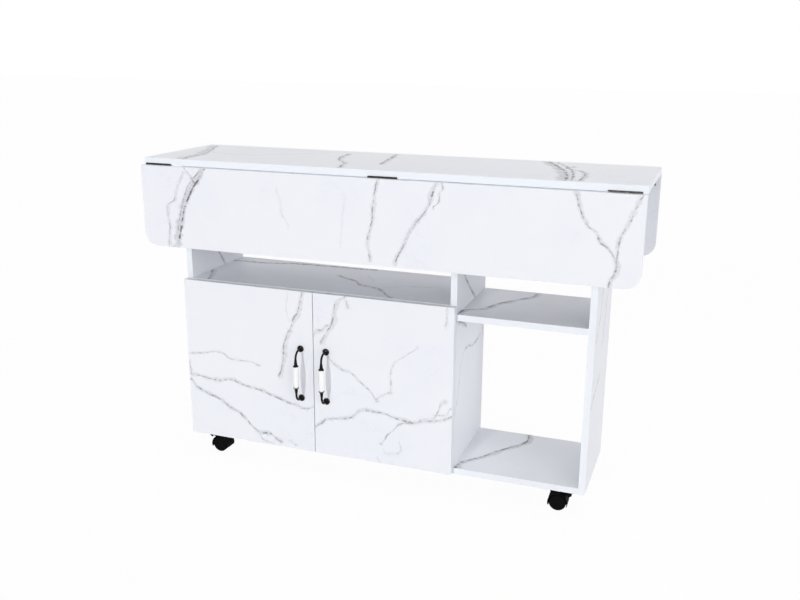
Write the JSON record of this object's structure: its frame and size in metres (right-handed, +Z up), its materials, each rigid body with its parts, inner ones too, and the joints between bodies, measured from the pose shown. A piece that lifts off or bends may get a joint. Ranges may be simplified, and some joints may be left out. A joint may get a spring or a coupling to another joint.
{
  "type": "drop-leaf serving table",
  "caption": "Drop-leaf serving table on swivel casters: a fixed top strip between two folding leaves, a two-door cabinet under an open compartment, and an open bay with a shelf.",
  "frame": {"origin": "on the floor, under the middle of the closed table's bounding box", "axes": "+X along the table's length to the right as seen from the doors, -Y towards the doors, +Z up"},
  "size_m": [1.2, 0.353, 0.777],
  "materials": {
    "laminate": "satin white marble-look melamine on particle board, plain white edge band",
    "beech": "bare beech",
    "steel": "bright zinc plating",
    "bronze": "dark bronze, satin",
    "ceramic": "white glaze",
    "catch_plastic": "white moulded plastic",
    "clear_rubber": "clear soft bumper",
    "caster_plastic": "black moulded nylon, satin"
  },
  "bodies": {
    "carcass": {"top_board": "laminate", "left_side_panel": "laminate", "right_side_panel": "laminate", "centre_divider": "laminate", "cabinet_bottom_board": "laminate", "cabinet_top_board": "laminate", "bay_bottom_board": "laminate", "bay_shelf": "laminate", "cabinet_back_panel": "laminate", "cam_locks": "steel", "cam_bolts": "steel", "wood_dowels": "beech", "magnetic_catch": "catch_plastic", "door_hinge_arms": "steel", "door_mounting_plates": "steel", "leaf_hinge_fixed_plates": "bronze", "leaf_hinge_pins": "bronze", "leaf_hinge_screws": "bronze", "support_brackets": "steel", "bracket_rivets": "steel", "caster_plates": "caster_plastic", "caster_screws": "steel"},
    "front_leaf_assembly": {"front_leaf": "laminate", "front_leaf_hinge_plates": "bronze", "front_leaf_screws": "bronze"},
    "rear_leaf_assembly": {"rear_leaf": "laminate", "rear_leaf_hinge_plates": "bronze", "rear_leaf_screws": "bronze"},
    "front_left_support_arm": {"front_left_support": "steel"},
    "front_right_support_arm": {"front_right_support": "steel"},
    "rear_left_support_arm": {"rear_left_support": "steel"},
    "rear_right_support_arm": {"rear_right_support": "steel"},
    "left_door_assembly": {"left_door": "laminate", "left_hinge_cups": "steel", "left_handle_posts": "bronze", "left_handle_grip": "ceramic", "left_handle_screws": "steel", "left_strike_plate": "steel", "left_door_bumpers": "clear_rubber"},
    "right_door_assembly": {"right_door": "laminate", "right_hinge_cups": "steel", "right_handle_posts": "bronze", "right_handle_grip": "ceramic", "right_handle_screws": "steel", "right_strike_plate": "steel", "right_door_bumpers": "clear_rubber"},
    "front_left_caster_fork": {"front_left_hood": "caster_plastic"},
    "front_left_caster_wheels": {"front_left_wheels": "caster_plastic", "front_left_axle": "steel"},
    "front_left_brake_lever": {"front_left_brake": "caster_plastic"},
    "front_right_caster_fork": {"front_right_hood": "caster_plastic"},
    "front_right_caster_wheels": {"front_right_wheels": "caster_plastic", "front_right_axle": "steel"},
    "front_right_brake_lever": {"front_right_brake": "caster_plastic"},
    "rear_left_caster_fork": {"rear_left_hood": "caster_plastic"},
    "rear_left_caster_wheels": {"rear_left_wheels": "caster_plastic", "rear_left_axle": "steel"},
    "rear_right_caster_fork": {"rear_right_hood": "caster_plastic"},
    "rear_right_caster_wheels": {"rear_right_wheels": "caster_plastic", "rear_right_axle": "steel"}
  },
  "joints": [
    {"name": "front_leaf_hinge", "type": "hinge", "parent": "carcass", "child": "front_leaf_assembly", "pos_m": [0, -0.1515, 0.761], "axis": [-1, 0, 0], "range_deg": [0, 90]},
    {"name": "front_left_support_pivot", "type": "hinge", "parent": "carcass", "child": "front_left_support_arm", "pos_m": [-0.5075, -0.136, 0.711], "axis": [-1, 0, 0], "range_deg": [0, 108.21]},
    {"name": "front_right_support_pivot", "type": "hinge", "parent": "carcass", "child": "front_right_support_arm", "pos_m": [0.5025, -0.136, 0.711], "axis": [-1, 0, 0], "range_deg": [0, 108.21]},
    {"name": "rear_leaf_hinge", "type": "hinge", "parent": "carcass", "child": "rear_leaf_assembly", "pos_m": [0, 0.1605, 0.761], "axis": [1, 0, 0], "range_deg": [0, 90]},
    {"name": "rear_left_support_pivot", "type": "hinge", "parent": "carcass", "child": "rear_left_support_arm", "pos_m": [-0.5075, 0.145, 0.711], "axis": [1, 0, 0], "range_deg": [0, 108.21]},
    {"name": "rear_right_support_pivot", "type": "hinge", "parent": "carcass", "child": "rear_right_support_arm", "pos_m": [0.5025, 0.145, 0.711], "axis": [1, 0, 0], "range_deg": [0, 108.21]},
    {"name": "left_door_hinge", "type": "hinge", "parent": "carcass", "child": "left_door_assembly", "pos_m": [-0.5078, -0.1342, 0.2665], "axis": [0, 0, -1], "range_deg": [0, 95]},
    {"name": "right_door_hinge", "type": "hinge", "parent": "carcass", "child": "right_door_assembly", "pos_m": [0.1878, -0.1342, 0.2665], "axis": [0, 0, 1], "range_deg": [0, 95]},
    {"name": "front_left_swivel", "type": "hinge", "parent": "carcass", "child": "front_left_caster_fork", "pos_m": [-0.44, -0.097, 0.046], "axis": [0, 0, 1], "continuous": true},
    {"name": "front_left_wheel_spin", "type": "hinge", "parent": "front_left_caster_fork", "child": "front_left_caster_wheels", "pos_m": [-0.45199, -0.09658, 0.02], "axis": [-0.0349, -0.9994, 0], "continuous": true},
    {"name": "front_left_brake_pivot", "type": "hinge", "parent": "front_left_caster_fork", "child": "front_left_brake_lever", "pos_m": [-0.46998, -0.09595, 0.04145], "axis": [-0.0349, -0.9994, 0], "range_deg": [0, 30]},
    {"name": "front_right_swivel", "type": "hinge", "parent": "carcass", "child": "front_right_caster_fork", "pos_m": [0.435, -0.097, 0.046], "axis": [0, 0, 1], "continuous": true},
    {"name": "front_right_wheel_spin", "type": "hinge", "parent": "front_right_caster_fork", "child": "front_right_caster_wheels", "pos_m": [0.44699, -0.09658, 0.02], "axis": [-0.0349, 0.9994, 0], "continuous": true},
    {"name": "front_right_brake_pivot", "type": "hinge", "parent": "front_right_caster_fork", "child": "front_right_brake_lever", "pos_m": [0.46498, -0.09595, 0.04145], "axis": [-0.0349, 0.9994, 0], "range_deg": [0, 30]},
    {"name": "rear_left_swivel", "type": "hinge", "parent": "carcass", "child": "rear_left_caster_fork", "pos_m": [-0.44, 0.106, 0.046], "axis": [0, 0, 1], "continuous": true},
    {"name": "rear_left_wheel_spin", "type": "hinge", "parent": "rear_left_caster_fork", "child": "rear_left_caster_wheels", "pos_m": [-0.45128, 0.1101, 0.02], "axis": [-0.342, -0.9397, 0], "continuous": true},
    {"name": "rear_right_swivel", "type": "hinge", "parent": "carcass", "child": "rear_right_caster_fork", "pos_m": [0.435, 0.106, 0.046], "axis": [0, 0, 1], "continuous": true},
    {"name": "rear_right_wheel_spin", "type": "hinge", "parent": "rear_right_caster_fork", "child": "rear_right_caster_wheels", "pos_m": [0.44628, 0.1101, 0.02], "axis": [-0.342, 0.9397, 0], "continuous": true}
  ],
  "couplings": [
    {"joint": "front_left_support_pivot", "follows": "front_leaf_hinge", "ratio": 1.2022},
    {"joint": "front_right_support_pivot", "follows": "front_leaf_hinge", "ratio": 1.2022},
    {"joint": "rear_left_support_pivot", "follows": "rear_leaf_hinge", "ratio": 1.2022},
    {"joint": "rear_right_support_pivot", "follows": "rear_leaf_hinge", "ratio": 1.2022}
  ]
}
